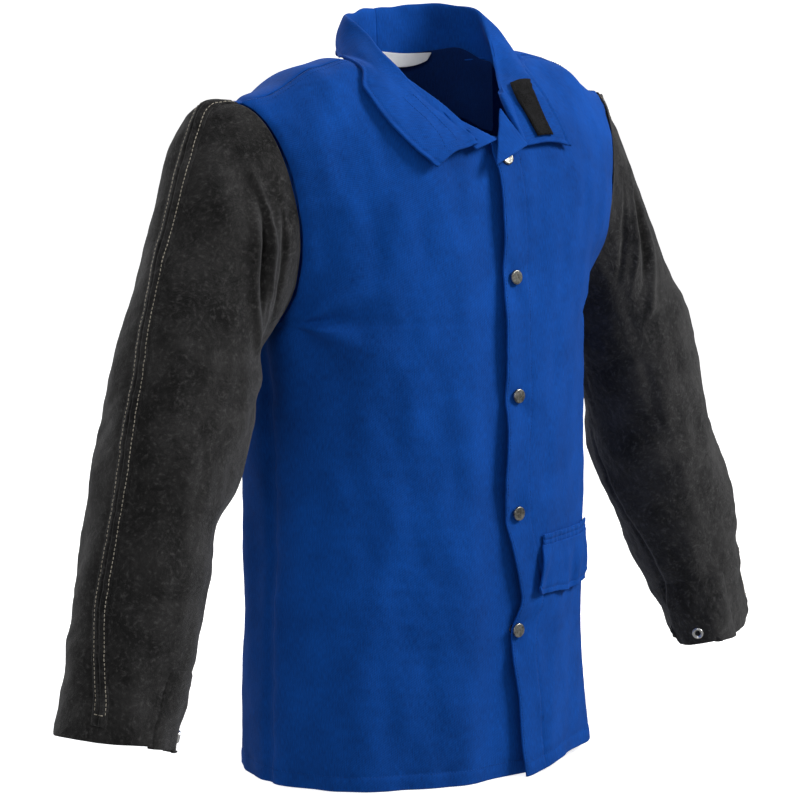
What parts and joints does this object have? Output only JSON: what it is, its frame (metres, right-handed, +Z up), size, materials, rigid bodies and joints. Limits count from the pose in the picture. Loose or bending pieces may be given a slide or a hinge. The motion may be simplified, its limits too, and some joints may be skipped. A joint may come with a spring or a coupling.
{
  "type": "work jacket",
  "caption": "Hip-length welding jacket: blue cotton body, black split-leather sleeves, open turned-down collar, snap front, flap pocket, snap cuffs.",
  "frame": {"origin": "centre of the neck opening, on the body's upright axis, 735 mm above the hem", "axes": "+Z up, -Y towards the front, +X to the wearer's left"},
  "size_m": [0.9564, 0.3023, 0.7959],
  "materials": {
    "cotton": "royal-blue flame-resistant cotton twill",
    "suede": "black split leather with a short mottled nap",
    "pocketing": "plain blue pocketing",
    "label": "white woven label, blank",
    "hook_tape": "black nylon hook-and-loop tape",
    "gunmetal": "antiqued gunmetal press-stud caps",
    "snap_metal": "nickel-plated press-stud parts"
  },
  "bodies": {
    "jacket": {"back_panel": "cotton", "right_front_panel": "cotton", "left_front_upper": "cotton", "collar_stand": "cotton", "collar_fall": "cotton", "neck_label": "label", "upper_snap_caps": "gunmetal", "upper_snap_sockets": "snap_metal", "front_snap_studs": "snap_metal", "front_snap_eyelets": "snap_metal", "left_sleeve_head_front": "suede", "left_sleeve_head_back": "suede", "left_head_strip": "suede", "right_sleeve_head_front": "suede", "right_sleeve_head_back": "suede", "right_head_strip": "suede"},
    "left_front": {"left_front_panel": "cotton", "front_snap_caps": "gunmetal", "front_snap_sockets": "snap_metal", "pocket_welt": "cotton", "pocket_bag": "pocketing"},
    "pocket_flap": {"pocket_flap": "cotton"},
    "left_collar": {"left_collar_leaf": "cotton", "hook_tape": "hook_tape"},
    "right_collar": {"right_collar_leaf": "cotton", "loop_tape": "hook_tape"},
    "left_sleeve": {"left_sleeve_front": "suede", "left_sleeve_back": "suede", "left_seam_strip": "suede", "left_cuff_stud": "snap_metal"},
    "left_cuff": {"left_cuff_flap": "suede", "left_cuff_ring": "snap_metal", "left_cuff_socket": "snap_metal"},
    "right_sleeve": {"right_sleeve_front": "suede", "right_sleeve_back": "suede", "right_seam_strip": "suede", "right_cuff_stud": "snap_metal"},
    "right_cuff": {"right_cuff_flap": "suede", "right_cuff_ring": "snap_metal", "right_cuff_socket": "snap_metal"}
  },
  "joints": [
    {"name": "front_swing", "type": "hinge", "parent": "jacket", "child": "left_front", "pos_m": [0.21, 0.001, -0.5], "axis": [0, 0, 1], "range_deg": [0, 25]},
    {"name": "pocket_flap_lift", "type": "hinge", "parent": "left_front", "child": "pocket_flap", "pos_m": [0.10972, -0.13491, -0.49], "axis": [-0.9259, -0.3777, 0], "range_deg": [0, 70]},
    {"name": "left_sleeve_raise", "type": "hinge", "parent": "jacket", "child": "left_sleeve", "pos_m": [0.243, 0, -0.103], "axis": [0, -1, 0], "range_deg": [0, 60]},
    {"name": "right_sleeve_raise", "type": "hinge", "parent": "jacket", "child": "right_sleeve", "pos_m": [-0.243, 0, -0.103], "axis": [0, 1, 0], "range_deg": [0, 60]},
    {"name": "left_collar_lift", "type": "hinge", "parent": "jacket", "child": "left_collar", "pos_m": [0.0755, -0.079, -0.0185], "axis": [-0.3685, -0.7028, -0.6085], "range_deg": [0, 60]},
    {"name": "right_collar_lift", "type": "hinge", "parent": "jacket", "child": "right_collar", "pos_m": [-0.0755, -0.079, -0.0185], "axis": [-0.3685, 0.7028, 0.6085], "range_deg": [0, 60]},
    {"name": "left_cuff_open", "type": "hinge", "parent": "left_sleeve", "child": "left_cuff", "pos_m": [0.40607, -0.07148, -0.61912], "axis": [-0.322, 0.0026, 0.9467], "range_deg": [0, 45]},
    {"name": "right_cuff_open", "type": "hinge", "parent": "right_sleeve", "child": "right_cuff", "pos_m": [-0.40607, -0.07148, -0.61912], "axis": [-0.322, -0.0026, -0.9467], "range_deg": [0, 45]}
  ]
}
